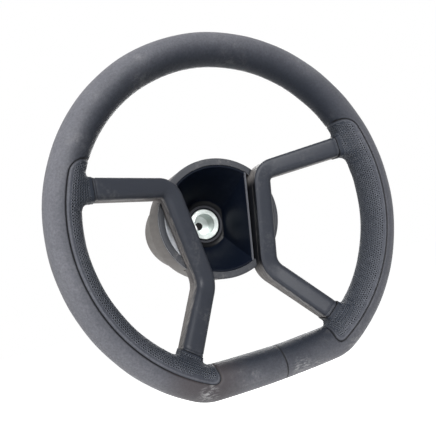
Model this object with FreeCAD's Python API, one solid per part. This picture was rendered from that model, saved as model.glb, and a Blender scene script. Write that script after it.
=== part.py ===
"""Flat-bottomed boat steering wheel with two bent bracket spokes.

The wheel stands upright: X is to the driver's right, Z is up and Y runs back
along the shaft.  The origin is the middle of the boss's rear face, where the
shaft enters.  Plan points are (x, z) pairs as the driver sees them, a height
is a distance towards the driver from the rim's middle plane, and clock angles
run clockwise from the top of the wheel.
"""
import FreeCAD, Part
import math
import os

from FreeCAD import Vector

# Padded rim
wheel_diameter = 350.0
grip_width = 32.0
grip_depth = 37.2
dish = 143.0
flat_inset = 13.8
flat_bow_radius = 1085.0
corner_radius = 34.0
leather_thickness = 1.2
hoop_diameter = 12.0

# Leather seams
seam_gap = 0.9
grip_seam_inset = 1.6
grip_top = 68.3
grip_side = 59.5
grip_corner = 10.0
butt_seam_x = 3.2

# Spokes: the middle line of the right-hand front face
upper_aim = (124.2, 43.5)
upper_bend = (49.9, 38.4)
lower_bend = (33.8, -60.1)
lower_aim = (76.0, -116.7)
upper_root_height = 3.7
lower_root_height = 1.5
upper_bend_height = -24.1
lower_bend_height = -27.7
upper_bend_radius = 15.5
lower_bend_radius = 24.0
bar_hub_side = 8.4
bar_window_side = 10.2
root_side = 10.2
root_depth = 19.5
bar_depth = 27.5
hub_side_round = 2.5
window_side_round = 4.5
rear_round = 3.5
split_depth = 9.0
split_gap = 0.6
cover_wall = 2.4
upper_root_inset = 25.7
lower_root_inset = 22.9

# Saddles, where the padding runs out along each spoke
saddle_proud = 0.8
saddle_length = 19.0
saddle_flare = 7.0
saddle_front_rise = 4.0
saddle_rear_inset = 5.6
saddle_round = 6.0
saddle_end_gap = 0.4

# Steel spoke bars
bar_width = 10.0
bar_thickness = 5.0
bar_mid_height = -37.5
bar_root_height = -6.5
bar_root_bend_radius = 40.0

# Hub shroud
shroud_half_width = 65.5
shroud_half_height = 61.9
tail_half_width = 56.0
tail_half_height = 47.0
shroud_front_height = -42.0
shroud_set_in = 2.0
shroud_wall = 3.0
mouth_half_width = 59.4
mouth_half_height = 54.8
ring_thickness = 4.0
crescent_sink = 1.4
drum_length = 38.0
step_length = 14.0
shroud_front_round = 1.6
shroud_rear_round = 4.0
notch_clearance = 0.5

# Hub bowl
bowl_sink = 0.8
bowl_wall = 1.8
bowl_gap = 0.4
well_bar_gap = 3.8
well_floor_half_width = 26.2
well_floor_half_height = 25.8
well_floor_reach = 21.6

# Boss and its collar
boss_radius = 17.0
boss_length = 51.5
boss_chamfer = 0.8
shaft_radius = 9.525
shaft_length = 28.0
head_bore_radius = 11.7
head_bore_depth = 19.5
bolt_hole_radius = 4.4
key_width = 4.8
key_height = 2.4
collar_radius = 20.5
collar_proud = 0.8
collar_gap = 0.2

# Folded bracket from the boss up to the bars
bracket_thickness = 3.0
bracket_half_length = 26.0
bracket_fold_radius = 5.0
bracket_foot_reach = 27.5
bracket_side_gap = 0.5

# Screws
cover_screw_radius = 2.0
cover_screw_head_radius = 3.6
cover_screw_head_height = 2.4
cover_screw_sink = 0.8
cover_screw_shares = (0.32, 0.8)
cover_post_radius = 3.6
bar_screw_radius = 2.5
bar_screw_head_radius = 4.3
bar_screw_head_height = 3.4
bar_screw_spacing = 34.0
shroud_screw_radius = 2.5
shroud_screw_head_radius = 4.6
shroud_screw_head_height = 3.0
shroud_screw_circle = 27.0
shroud_screw_angles = (45, 135, 225, 315)
shroud_post_wall = 2.2
shroud_post_floor = 4.0
hole_clearance = 0.3

# Worked out from the sizes above
rim_radius = (wheel_diameter - grip_width) / 2
flat_drop = rim_radius - flat_inset
rim_y = -dish
beyond = wheel_diameter
bar_hole_radius = cover_screw_radius + hole_clearance
shroud_front_y = rim_y - shroud_front_height
bowl_front_y = shroud_front_y + bowl_sink
boss_front_y = -boss_length
bracket_front_y = boss_front_y + bowl_wall
bracket_mid_y = bracket_front_y + bracket_thickness / 2
bracket_rear_y = bracket_front_y + bracket_thickness
bar_rear_y = rim_y - bar_mid_height + bar_thickness / 2
ring_rear_y = shroud_front_y + ring_thickness
shroud_rear_y = -shroud_set_in
along = Vector(0, 1, 0)


def plan_unit(start, end):
    """direction from one plan point to another"""
    length = math.dist(start, end)
    return (end[0] - start[0]) / length, (end[1] - start[1]) / length


def plan_step(point, direction, distance, sideways=0.0):
    """plan point further on, and to the right of that direction"""
    x = point[0] + direction[0] * distance + direction[1] * sideways
    z = point[1] + direction[1] * distance - direction[0] * sideways
    return x, z


def place(plan, height):
    """point in space over a plan point"""
    return Vector(plan[0], rim_y - height, plan[1])


def clock_point(centre, radius, degrees, y):
    """point in space at a clock angle around a plan centre"""
    turn = math.radians(degrees)
    return Vector(centre[0] + radius * math.sin(turn), y, centre[1] + radius * math.cos(turn))


def mirrored(shape):
    """the left-hand twin of a right-hand shape"""
    return shape.mirror(Vector(0, 0, 0), Vector(1, 0, 0))


def joined(shapes):
    """shapes fused to one clean solid"""
    first, *others = shapes
    return first.fuse(others).removeSplitter() if others else first


def corner_arc(before, corner, after, radius):
    """the two ends and the middle of the arc that rounds a corner"""
    back = (before - corner).normalize()
    ahead = (after - corner).normalize()
    half = back.getAngle(ahead) / 2
    reach = radius / math.tan(half)
    inward = (back + ahead).normalize()
    middle = corner + inward * (radius / math.sin(half) - radius)
    return corner + back * reach, middle, corner + ahead * reach


def rounded_wire(corners, radii, closed=True):
    """lines through the corners, each corner rounded by its own radius"""
    count = len(corners)
    joints = []
    for index, radius in enumerate(radii):
        corner = corners[index]
        if radius > 0:
            joints.append(corner_arc(corners[index - 1], corner, corners[(index + 1) % count], radius))
        else:
            joints.append((corner, None, corner))
    edges = []
    for index, (start, middle, end) in enumerate(joints):
        if middle is not None:
            edges.append(Part.Arc(start, middle, end).toShape())
        if index < count - 1 or closed:
            following = joints[(index + 1) % count][0]
            edges.append(Part.LineSegment(end, following).toShape())
    return Part.Wire(edges)


def swept(path, section):
    """solid along a path, its section kept upright to the rim's plane"""
    pipe = Part.BRepOffsetAPI.MakePipeShell(path)
    pipe.setBiNormalMode(along)
    pipe.add(section)
    pipe.build()
    pipe.makeSolid()
    return pipe.shape()


def rod(plan, front_y, rear_y, radius):
    """round bar along the shaft's direction"""
    return Part.makeCylinder(radius, rear_y - front_y, Vector(plan[0], front_y, plan[1]), along)


# Rim

def rim_arcs():
    """centre, radius and clock angles of each arc in the rim's right half"""
    flat_centre = flat_bow_radius - flat_drop
    from_rim = rim_radius - corner_radius
    from_flat = flat_bow_radius - corner_radius
    corner_z = (from_rim ** 2 - from_flat ** 2 + flat_centre ** 2) / (2 * flat_centre)
    corner_x = math.sqrt(from_rim ** 2 - corner_z ** 2)
    leaves_rim = math.degrees(math.atan2(corner_x, corner_z))
    meets_flat = math.degrees(math.atan2(corner_x, corner_z - flat_centre))
    return [
        ((0, 0), rim_radius, 0, leaves_rim),
        ((corner_x, corner_z), corner_radius, leaves_rim, meets_flat),
        ((0, flat_centre), flat_bow_radius, meets_flat, 180),
    ]


def rim_ring(radial, axial):
    """D-shaped ring with an oval or round section of these half sizes"""
    runs = []
    for centre, radius, start, end in rim_arcs():
        middle = clock_point(centre, radius, start, rim_y)
        outward = (middle - Vector(centre[0], rim_y, centre[1])).normalize()
        if axial > radial:
            outline = Part.Ellipse(middle + along * axial, middle + outward * radial, middle)
        else:
            outline = Part.Circle(middle, outward.cross(along), radial)
        face = Part.Face(Part.Wire(outline.toShape()))
        runs.append(face.revolve(Vector(centre[0], 0, centre[1]), along, end - start))
    half = joined(runs)
    return joined([half, mirrored(half)])


def rim_reach(bend, aim):
    """distance from a bend, through the point its leg aims at, to the rim's middle line"""
    outward = plan_unit(bend, aim)
    towards = bend[0] * outward[0] + bend[1] * outward[1]
    return math.sqrt(towards ** 2 + rim_radius ** 2 - math.hypot(*bend) ** 2) - towards


def spoke_leg(bend, aim, root_inset, bend_height, root_height):
    """one leg: its bend, outward direction, length to the root seam, and the face's two heights"""
    return bend, plan_unit(bend, aim), rim_reach(bend, aim) - root_inset, bend_height, root_height


def leg_height(leg, distance):
    """height of the front face at a distance out along a leg"""
    _, _, length, bend_height, root_height = leg
    return bend_height + (root_height - bend_height) * distance / length


upper_leg = spoke_leg(upper_bend, upper_aim, upper_root_inset, upper_bend_height, upper_root_height)
lower_leg = spoke_leg(lower_bend, lower_aim, lower_root_inset, lower_bend_height, lower_root_height)


def saddle(leg, shrink):
    """flared sleeve of padding that blends a spoke's root into the rim"""
    bend, outward, length, _, _ = leg
    far_rear = saddle_rear_inset - grip_depth / 2
    sections = []
    for share in (0.0, 0.35, 0.7, 1.0):
        distance = length + saddle_end_gap + share * saddle_length
        side = root_side + saddle_proud + saddle_flare * share ** 2 - shrink
        front = leg_height(leg, distance) + saddle_proud + saddle_front_rise * share ** 2 - shrink
        root_rear = leg_height(leg, length) - root_depth - saddle_proud
        rear = root_rear + (far_rear - root_rear) * share ** 2 + shrink
        left = plan_step(bend, outward, distance, -side)
        right = plan_step(bend, outward, distance, side)
        corners = [place(left, front), place(right, front), place(right, rear), place(left, rear)]
        sections.append(rounded_wire(corners, [saddle_round - shrink] * len(corners)))
    return Part.makeLoft(sections, True, False)


def padded_body(shrink):
    """rim and saddles together, drawn in by this much all round"""
    saddles = [saddle(leg, shrink) for leg in (upper_leg, lower_leg)]
    saddles += [mirrored(shape) for shape in saddles]
    return joined([rim_ring(grip_width / 2 - shrink, grip_depth / 2 - shrink)] + saddles)


def grip_cutter(grow):
    """prism over the right-hand grip panel, its seam line grown by this much"""
    seam_radius = rim_radius - grip_seam_inset
    reach = seam_radius - grip_corner
    top_centre = (math.sqrt(reach ** 2 - (grip_top - grip_corner) ** 2), grip_top - grip_corner)
    foot_x = grip_side + grip_corner
    foot_centre = (foot_x, -math.sqrt(reach ** 2 - foot_x ** 2))
    y = rim_y - grip_depth
    corner = grip_corner + grow
    top_turn = math.degrees(math.atan2(*top_centre))
    foot_turn = math.degrees(math.atan2(*foot_centre))
    inner_top = Vector(grip_side - grow, y, grip_top + grow)
    points = [
        clock_point(top_centre, corner, angle, y) for angle in (0, top_turn / 2, top_turn)
    ]
    outer = seam_radius + grow
    points += [clock_point((0, 0), outer, angle, y) for angle in ((top_turn + foot_turn) / 2, foot_turn)]
    points += [clock_point(foot_centre, corner, angle, y) for angle in ((foot_turn + 270) / 2, 270)]
    edges = [
        Part.LineSegment(inner_top, points[0]).toShape(),
        Part.Arc(*points[0:3]).toShape(),
        Part.Arc(*points[2:5]).toShape(),
        Part.Arc(*points[4:7]).toShape(),
        Part.LineSegment(points[6], inner_top).toShape(),
    ]
    return Part.Face(Part.Wire(edges)).extrude(along * 2 * grip_depth)


def butt_slot():
    """thin slot where the two ends of the long leather strip meet"""
    low = Vector(butt_seam_x - seam_gap / 2, rim_y - grip_depth, -beyond)
    return Part.makeBox(seam_gap, 2 * grip_depth, beyond, low)


# Spokes

def spoke_places():
    """front-face points and travel directions from the upper root to the lower one"""
    ends = []
    for leg in (upper_leg, lower_leg):
        bend, outward, length, _, root_height = leg
        ends.append(place(plan_step(bend, outward, length), root_height))
    bends = [place(upper_bend, upper_bend_height), place(lower_bend, lower_bend_height)]
    first = corner_arc(ends[0], bends[0], bends[1], upper_bend_radius)
    second = corner_arc(bends[0], bends[1], ends[1], lower_bend_radius)
    inward = plan_unit(upper_aim, upper_bend)
    down = plan_unit(upper_bend, lower_bend)
    outward = plan_unit(lower_bend, lower_aim)
    places = [
        (ends[0], inward), (first[0], inward), (first[2], down),
        (second[0], down), (second[2], outward), (ends[1], outward),
    ]
    return places, first, second


def along_spoke(section):
    """solid that follows the spoke, straight runs lofted and bends swept"""
    places, first, second = spoke_places()
    wires = [section(point, travel, index in (0, 5)) for index, (point, travel) in enumerate(places)]
    runs = [Part.makeLoft(wires[index:index + 2], True, True) for index in (0, 2, 4)]
    for (start, middle, end), wire in ((first, wires[1]), (second, wires[3])):
        runs.append(swept(Part.Wire(Part.Arc(start, middle, end).toShape()), wire))
    return joined(runs)


def spoke_sizes(at_root):
    """hub side, window side and depth of the spoke's section"""
    if at_root:
        return root_side, root_side, root_depth
    return bar_hub_side, bar_window_side, bar_depth


def section_point(point, travel, sideways, depth):
    """corner of a section: sideways is towards the hub, depth is towards the rear"""
    return Vector(point.x + travel[1] * sideways, point.y + depth, point.z - travel[0] * sideways)


def front_section(point, travel, at_root):
    """channel open at the rear, with a softly rounded face"""
    hub, window, _ = spoke_sizes(at_root)
    wall = cover_wall
    spots = [
        (hub, split_depth), (hub, 0), (-window, 0), (-window, split_depth),
        (wall - window, split_depth), (wall - window, wall), (hub - wall, wall), (hub - wall, split_depth),
    ]
    inner_round = window_side_round - wall
    radii = [0, hub_side_round, window_side_round, 0, 0, inner_round, 0, 0]
    return rounded_wire([section_point(point, travel, *spot) for spot in spots], radii)


def rear_section(point, travel, at_root):
    """channel open at the front, with a rounded back"""
    hub, window, depth = spoke_sizes(at_root)
    wall = cover_wall
    start = split_depth + split_gap
    spots = [
        (hub, start), (hub, depth), (-window, depth), (-window, start),
        (wall - window, start), (wall - window, depth - wall),
        (hub - wall, depth - wall), (hub - wall, start),
    ]
    inner_round = rear_round - wall
    radii = [0, rear_round, rear_round, 0, 0, inner_round, inner_round, 0]
    return rounded_wire([section_point(point, travel, *spot) for spot in spots], radii)


def envelope_section(point, travel, at_root):
    """plain outline round both covers, for the notches they lie in"""
    hub, window, depth = spoke_sizes(at_root)
    gap = notch_clearance
    spots = [(hub + gap, -gap), (-window - gap, -gap), (-window - gap, depth + gap), (hub + gap, depth + gap)]
    return rounded_wire([section_point(point, travel, *spot) for spot in spots], [0, 0, 0, 0])


def steel_bar(hoop):
    """flat bar bent along the spoke, its ends shaped to the hoop"""
    points = []
    for leg, root_inset in ((upper_leg, upper_root_inset), (lower_leg, lower_root_inset)):
        bend, outward, length, _, _ = leg
        hoop_reach = length + root_inset
        run = [(hoop_reach, bar_thickness / 2), (length, bar_root_height), (0, bar_mid_height)]
        points.append([place(plan_step(bend, outward, distance), height) for distance, height in run])
    corners = points[0] + points[1][::-1]
    root = bar_root_bend_radius
    radii = [0, root, upper_bend_radius, lower_bend_radius, root, 0]
    path = rounded_wire(corners, radii, closed=False)
    travel = plan_unit(upper_aim, upper_bend)
    half, rise = bar_width / 2, bar_thickness / 2
    spots = [(half, -rise), (-half, -rise), (-half, rise), (half, rise)]
    section = rounded_wire([section_point(corners[0], travel, *spot) for spot in spots], [0, 0, 0, 0])
    return swept(path, section).cut(hoop)


def bar_height(leg, distance):
    """height of the steel bar's middle at a distance out along a leg"""
    length = leg[2]
    return bar_mid_height + (bar_root_height - bar_mid_height) * distance / length


def cover_screw_spots():
    """plan point, front, bar and rear positions of each cover screw"""
    spots = []
    for leg in (upper_leg, lower_leg):
        bend, outward, length, _, _ = leg
        for share in cover_screw_shares:
            distance = share * length
            depth = bar_depth + (root_depth - bar_depth) * share
            front_y = rim_y - leg_height(leg, distance)
            bar_y = rim_y - bar_height(leg, distance)
            spots.append((plan_step(bend, outward, distance), front_y, bar_y, front_y + depth))
    return spots


def front_cover(bar):
    """moulded front of a spoke, with posts that stand on the steel bar"""
    posts = []
    holes = []
    for plan, front_y, bar_y, _ in cover_screw_spots():
        posts.append(rod(plan, front_y + cover_wall / 2, bar_y, cover_post_radius).cut(bar))
        holes.append(rod(plan, front_y + 2 * cover_wall, bar_y, cover_screw_radius))
    return joined([along_spoke(front_section)] + posts).cut(holes)


def rear_cover(bar):
    """moulded back of a spoke, with screw pockets and a window for the bracket"""
    cups = []
    cuts = [bracket_window()]
    for plan, _, bar_y, rear_y in cover_screw_spots():
        seat_y = rear_y - cover_screw_sink - cover_screw_head_height
        pocket_radius = cover_screw_head_radius + hole_clearance
        cup = rod(plan, seat_y - cover_wall, rear_y - cover_wall / 2, pocket_radius + cover_wall / 2)
        cups.append(cup.cut(bar))
        cuts.append(rod(plan, seat_y, rear_y + cover_wall, pocket_radius))
        cuts.append(rod(plan, seat_y - 2 * cover_wall, seat_y, bar_hole_radius))
    return joined([along_spoke(rear_section)] + cups).cut(cuts)


def cover_screws():
    """pan-head screws that pull both covers onto the steel bar"""
    screws = []
    for plan, front_y, _, rear_y in cover_screw_spots():
        seat_y = rear_y - cover_screw_sink - cover_screw_head_height
        head = rod(plan, seat_y, seat_y + cover_screw_head_height, cover_screw_head_radius)
        shank = rod(plan, front_y + 2 * cover_wall, seat_y, cover_screw_radius)
        screws.append(joined([head, shank]))
    return Part.makeCompound(screws)


# Hub

def bar_line():
    """foot of the bar's middle line nearest the shaft, its direction and its reach"""
    down = plan_unit(upper_bend, lower_bend)
    travelled = -(upper_bend[0] * down[0] + upper_bend[1] * down[1])
    foot = plan_step(upper_bend, down, travelled)
    return foot, down, math.hypot(*foot)


def beside_bar(reach, travelled, y):
    """point at a distance from the shaft, measured square to the bar"""
    foot, down, full = bar_line()
    centred = (foot[0] * reach / full, foot[1] * reach / full)
    plan = plan_step(centred, down, travelled)
    return Vector(plan[0], y, plan[1])


def bracket_window():
    """opening in the rear cover's back that lets the bracket reach the bar"""
    reach = bar_line()[2]
    near = reach - bar_hub_side + cover_wall
    far_side = reach + bar_window_side - cover_wall
    half = bracket_half_length + bracket_thickness / 2
    corners = [
        beside_bar(near, half, bar_rear_y), beside_bar(far_side, half, bar_rear_y),
        beside_bar(far_side, -half, bar_rear_y), beside_bar(near, -half, bar_rear_y),
    ]
    return Part.Face(rounded_wire(corners, [0, 0, 0, 0])).extrude(along * bar_depth)


def bracket_side():
    """folded strip from the bracket's base up the side and out under the bar"""
    reach = bar_line()[2]
    half = bracket_thickness / 2
    lip_y = bar_rear_y + half
    upright = reach - bar_hub_side + cover_wall + bracket_side_gap + half
    cover_back_y = rim_y - lower_bend_height + bar_depth
    start = -bracket_half_length
    corners = [
        beside_bar(boss_radius + bracket_thickness, start, bracket_mid_y),
        beside_bar(bracket_foot_reach, start, bracket_mid_y),
        beside_bar(upright, start, cover_back_y),
        beside_bar(upright, start, lip_y),
        beside_bar(reach + bar_width / 2, start, lip_y),
    ]
    fold = bracket_fold_radius
    line = rounded_wire(corners, [0, fold, fold, half + hole_clearance, 0], closed=False)
    down = bar_line()[1]
    run = Vector(down[0], 0, down[1]) * (2 * bracket_half_length)
    leaves = [line.makeOffset2D(side, fill=True, openResult=True).extrude(run) for side in (half, -half)]
    return joined(leaves)


def bar_screw_spots():
    """plan points of the screws that hold one bar to the bracket"""
    full = bar_line()[2]
    spots = [beside_bar(full, travelled, 0) for travelled in (-bar_screw_spacing / 2, bar_screw_spacing / 2)]
    return [(spot.x, spot.z) for spot in spots]


def bar_holes():
    """holes in a bar for the covers' screws and for its own"""
    holes = []
    for plan, _, bar_y, _ in cover_screw_spots():
        holes.append(rod(plan, bar_y - bar_width, bar_y + bar_width, bar_hole_radius))
    for plan in bar_screw_spots():
        holes.append(rod(plan, bar_rear_y - bar_thickness, bar_rear_y, bar_screw_radius))
    return holes


def bar_screws():
    """screws through the bar into the bracket's lip, heads towards the driver"""
    screws = []
    for plan in bar_screw_spots():
        seat_y = bar_rear_y - bar_thickness
        head = rod(plan, seat_y - bar_screw_head_height, seat_y, bar_screw_head_radius)
        screws.append(joined([head, rod(plan, seat_y, bar_rear_y + bracket_thickness, bar_screw_radius)]))
    return Part.makeCompound(screws)


def shroud_screw_spots():
    """plan points of the screws through the shroud's posts"""
    spots = [clock_point((0, 0), shroud_screw_circle, angle, 0) for angle in shroud_screw_angles]
    return [(spot.x, spot.z) for spot in spots]


def shroud_screws():
    """screws that hold the shroud's posts against the bracket's base"""
    screws = []
    seat_y = bracket_rear_y + shroud_post_floor
    for plan in shroud_screw_spots():
        head = rod(plan, seat_y, seat_y + shroud_screw_head_height, shroud_screw_head_radius)
        screws.append(joined([head, rod(plan, bracket_front_y, seat_y, shroud_screw_radius)]))
    return Part.makeCompound(screws)


def hub_bracket():
    """folded steel bracket round the boss, with a lip under each bar"""
    side = bracket_side()
    near = boss_radius + bracket_thickness
    ends = (-bracket_half_length, bracket_half_length)
    right = [beside_bar(near, travelled, bracket_front_y) for travelled in ends]
    left = [Vector(-point.x, point.y, point.z) for point in right]
    base = Part.Face(rounded_wire([right[0], right[1], left[1], left[0]], [0, 0, 0, 0]))
    plate = base.extrude(along * bracket_thickness)
    holes = [rod((0, 0), bracket_front_y, bracket_rear_y, boss_radius)]
    for plan in shroud_screw_spots():
        holes.append(rod(plan, bracket_front_y, bracket_rear_y, shroud_screw_radius))
    for x, z in bar_screw_spots():
        hole = rod((x, z), bar_rear_y, bar_rear_y + bracket_thickness, bar_screw_radius)
        holes += [hole, mirrored(hole)]
    return joined([plate, side, mirrored(side)]).cut(holes)


def hub_boss():
    """turned boss with a keyed shaft bore, a bolt hole and a bore for the bolt's head"""
    body = rod((0, 0), boss_front_y, 0, boss_radius)
    body = body.makeChamfer(boss_chamfer, body.Edges)
    cuts = [
        rod((0, 0), -shaft_length, 0, shaft_radius),
        rod((0, 0), -boss_length, 0, bolt_hole_radius),
        rod((0, 0), boss_front_y, boss_front_y + head_bore_depth, head_bore_radius),
    ]
    key = Vector(-key_width / 2, -shaft_length, 0)
    cuts.append(Part.makeBox(key_width, shaft_length, shaft_radius + key_height, key))
    return body.cut(cuts)


def boss_collar():
    """black ring round the boss, standing on the bracket through the bowl's floor"""
    front_y = boss_front_y - collar_proud
    ring = rod((0, 0), front_y, bracket_front_y, collar_radius)
    return ring.cut(rod((0, 0), front_y, bracket_front_y, boss_radius))


def oval(half_width, half_height, y):
    """upright oval in a plane square to the shaft"""
    return Part.Ellipse(Vector(half_width, y, 0), Vector(0, y, half_height), Vector(0, y, 0))


def oval_face(half_width, half_height, y):
    """filled oval"""
    return Part.Face(Part.Wire(oval(half_width, half_height, y).toShape()))


def bowl_outline(half_width, half_height, chord, y):
    """oval with a straight side next to each bar"""
    foot, down, full = bar_line()
    x, z = foot[0] * chord / full, foot[1] * chord / full
    wide, tall = half_width ** 2, half_height ** 2
    a = down[0] ** 2 / wide + down[1] ** 2 / tall
    b = x * down[0] / wide + z * down[1] / tall
    c = x ** 2 / wide + z ** 2 / tall - 1
    root = math.sqrt(b ** 2 - a * c)
    upper = beside_bar(chord, (-b - root) / a, y)
    lower = beside_bar(chord, (root - b) / a, y)
    shape = oval(half_width, half_height, y)
    top = math.atan2(upper.z / half_height, upper.x / half_width)
    bottom = math.atan2(lower.z / half_height, lower.x / half_width)
    edges = [
        Part.ArcOfEllipse(shape, top, math.pi - top).toShape(),
        Part.LineSegment(Vector(-upper.x, y, upper.z), Vector(-lower.x, y, lower.z)).toShape(),
        Part.ArcOfEllipse(shape, math.pi - bottom, 2 * math.pi + bottom).toShape(),
        Part.LineSegment(lower, upper).toShape(),
    ]
    return Part.Wire(edges)


def bowl_well(grow, front_y, rear_y):
    """solid that narrows from the bowl's mouth to its floor"""
    chord = bar_line()[2] - bar_hub_side - well_bar_gap + grow
    width = mouth_half_width - bowl_gap - bowl_wall + grow
    height = mouth_half_height - bowl_gap - bowl_wall + grow
    mouth = bowl_outline(width, height, chord, front_y)
    floor_width = well_floor_half_width + grow
    floor_height = well_floor_half_height + grow
    floor = bowl_outline(floor_width, floor_height, well_floor_reach + grow, rear_y)
    return Part.makeLoft([mouth, floor], True, True)


def hub_bowl():
    """open bowl with a lip that bears on the back of the shroud's ring"""
    chord = bar_line()[2] - bar_hub_side - well_bar_gap + bowl_wall
    lip_width = shroud_half_width - shroud_wall - bowl_gap
    lip_height = shroud_half_height - shroud_wall - bowl_gap
    lip = Part.Face(bowl_outline(lip_width, lip_height, chord, ring_rear_y)).extrude(along * bowl_wall)
    shell = joined([bowl_well(bowl_wall, bowl_front_y, boss_front_y + bowl_wall), lip])
    collar_hole = rod((0, 0), boss_front_y - bowl_wall, bracket_front_y, collar_radius + collar_gap)
    return shell.cut([bowl_well(0, bowl_front_y, boss_front_y), collar_hole])


def drum(grow, front_y, rear_y):
    """oval drum that steps down to a smaller, flatter tail"""
    step_y = shroud_front_y + drum_length
    tail_y = step_y + step_length
    wide = oval_face(shroud_half_width + grow, shroud_half_height + grow, step_y)
    narrow = oval_face(tail_half_width + grow, tail_half_height + grow, tail_y)
    front = wide.extrude(along * (front_y - step_y))
    step = Part.makeLoft([wide.OuterWire, narrow.OuterWire], True, True)
    return joined([front, step, narrow.extrude(along * (rear_y - tail_y))])


def crescent():
    """what stays of the ring's sunk land on the window side of a bar"""
    reach = bar_line()[2] + bar_window_side
    land_y = shroud_front_y + crescent_sink
    corners = [
        beside_bar(reach, -beyond, land_y), beside_bar(reach, beyond, land_y),
        beside_bar(beyond, beyond, land_y), beside_bar(beyond, -beyond, land_y),
    ]
    return Part.Face(rounded_wire(corners, [0, 0, 0, 0])).extrude(along * ring_thickness)


def edges_at(shape, y):
    """edges that lie in one plane square to the shaft"""
    edges = []
    for edge in shape.Edges:
        box = edge.BoundBox
        if abs(box.YMin - y) + abs(box.YMax - y) < hole_clearance:
            edges.append(edge)
    return edges


def hub_shroud(spokes):
    """moulded cup behind the hub, notched where the spokes lie in it"""
    shell = drum(0, shroud_front_y, shroud_rear_y)
    shell = shell.makeFillet(shroud_front_round, edges_at(shell, shroud_front_y))
    shell = shell.makeFillet(shroud_rear_round, edges_at(shell, shroud_rear_y))
    hollow = drum(-shroud_wall, ring_rear_y, shroud_rear_y - shroud_wall)
    mouth = oval_face(mouth_half_width, mouth_half_height, shroud_front_y).extrude(along * ring_thickness)
    land = crescent()
    shell = shell.cut([hollow, mouth.cut([land, mirrored(land)])])
    seat_y = bracket_rear_y + shroud_post_floor
    head_radius = shroud_screw_head_radius + hole_clearance
    post_radius = head_radius + shroud_post_wall
    posts = []
    holes = [rod((0, 0), bracket_rear_y, 0, boss_radius + notch_clearance)]
    for plan in shroud_screw_spots():
        posts.append(rod(plan, bracket_rear_y, shroud_rear_y - shroud_wall / 2, post_radius))
        holes.append(rod(plan, bracket_rear_y, seat_y, shroud_screw_radius + hole_clearance))
        holes.append(rod(plan, seat_y, 0, head_radius))
    return joined([shell] + posts).cut(holes + spokes)


# All pieces

def leather(skin):
    """smooth strip and the two grip panels, parted by the sunk seams"""
    right_grip = grip_cutter(0)
    right_seam = grip_cutter(seam_gap)
    panel = skin.common(right_grip)
    smooth = skin.cut([right_seam, mirrored(right_seam), butt_slot()])
    return smooth, panel


def pieces():
    """every piece of the wheel by its name"""
    hoop = rim_ring(hoop_diameter / 2, hoop_diameter / 2)
    bar = steel_bar(hoop)
    front = front_cover(bar)
    rear = rear_cover(bar)
    drilled = bar.cut(bar_holes())
    stuffing = padded_body(leather_thickness)
    smooth, grip = leather(padded_body(0).cut(stuffing))
    screws = cover_screws()
    bolts = bar_screws()
    spoke = along_spoke(envelope_section)
    return {
        "rim_hoop": hoop,
        "rim_foam": stuffing.cut([hoop, bar, mirrored(bar)]),
        "leather_smooth": smooth,
        "leather_grip_right": grip,
        "leather_grip_left": mirrored(grip),
        "spoke_bar_right": drilled,
        "spoke_bar_left": mirrored(drilled),
        "front_cover_right": front,
        "front_cover_left": mirrored(front),
        "rear_cover_right": rear,
        "rear_cover_left": mirrored(rear),
        "cover_screws_right": screws,
        "cover_screws_left": mirrored(screws),
        "bar_screws_right": bolts,
        "bar_screws_left": mirrored(bolts),
        "hub_bracket": hub_bracket(),
        "hub_boss": hub_boss(),
        "boss_collar": boss_collar(),
        "hub_bowl": hub_bowl(),
        "hub_shroud": hub_shroud([spoke, mirrored(spoke)]),
        "shroud_screws": shroud_screws(),
    }


os.makedirs("parts", exist_ok=True)
for name, shape in pieces().items():
    shape.exportStep(f"parts/{name}.step")
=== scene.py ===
import math

import bpy
import numpy as np
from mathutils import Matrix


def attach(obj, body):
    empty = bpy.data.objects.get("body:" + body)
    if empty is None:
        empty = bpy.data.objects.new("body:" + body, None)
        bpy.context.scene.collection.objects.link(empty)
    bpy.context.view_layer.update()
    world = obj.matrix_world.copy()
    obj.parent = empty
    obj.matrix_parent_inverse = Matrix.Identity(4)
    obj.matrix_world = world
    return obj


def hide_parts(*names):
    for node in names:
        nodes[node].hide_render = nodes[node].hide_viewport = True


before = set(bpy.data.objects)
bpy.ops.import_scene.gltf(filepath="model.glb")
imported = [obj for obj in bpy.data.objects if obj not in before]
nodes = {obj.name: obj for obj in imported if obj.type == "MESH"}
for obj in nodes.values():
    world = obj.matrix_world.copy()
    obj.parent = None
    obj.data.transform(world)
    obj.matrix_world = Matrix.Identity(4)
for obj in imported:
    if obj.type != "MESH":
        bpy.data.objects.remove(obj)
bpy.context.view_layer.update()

MM = 0.001


# Boss: a turned steel boss with bright zinc plating.  The shaft comes into it
# from behind, and its empty bolt bore opens towards the driver.

def new_group(name, inputs, outputs):
    """empty shader node group with named sockets"""
    tree = bpy.data.node_groups.new(name, "ShaderNodeTree")
    for label, kind, value in inputs:
        socket = tree.interface.new_socket(label, in_out="INPUT", socket_type=kind)
        socket.default_value = value
    for label, kind in outputs:
        tree.interface.new_socket(label, in_out="OUTPUT", socket_type=kind)
    return tree, tree.nodes.new("NodeGroupInput"), tree.nodes.new("NodeGroupOutput")


def add(tree, kind, settings=None, **inputs):
    """new node with its settings and input values or links"""
    made = tree.nodes.new(kind)
    for key, value in (settings or {}).items():
        setattr(made, key, value)
    for key, value in inputs.items():
        socket = made.inputs[int(key[1:])] if key[0] == "i" and key[1:].isdigit() else made.inputs[key.replace("_", " ")]
        if isinstance(value, bpy.types.NodeSocket):
            tree.links.new(value, socket)
        else:
            socket.default_value = value
    return made


def maths(tree, operation, first, second=0.0, third=0.0):
    """one sum of two or three values"""
    return add(tree, "ShaderNodeMath", {"operation": operation}, i0=first, i1=second, i2=third).outputs[0]


def blend_colour(tree, share, first, second):
    """colour between two others"""
    mix = add(tree, "ShaderNodeMix", {"data_type": "RGBA"}, i0=share, i6=first, i7=second)
    return mix.outputs[2]


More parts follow.
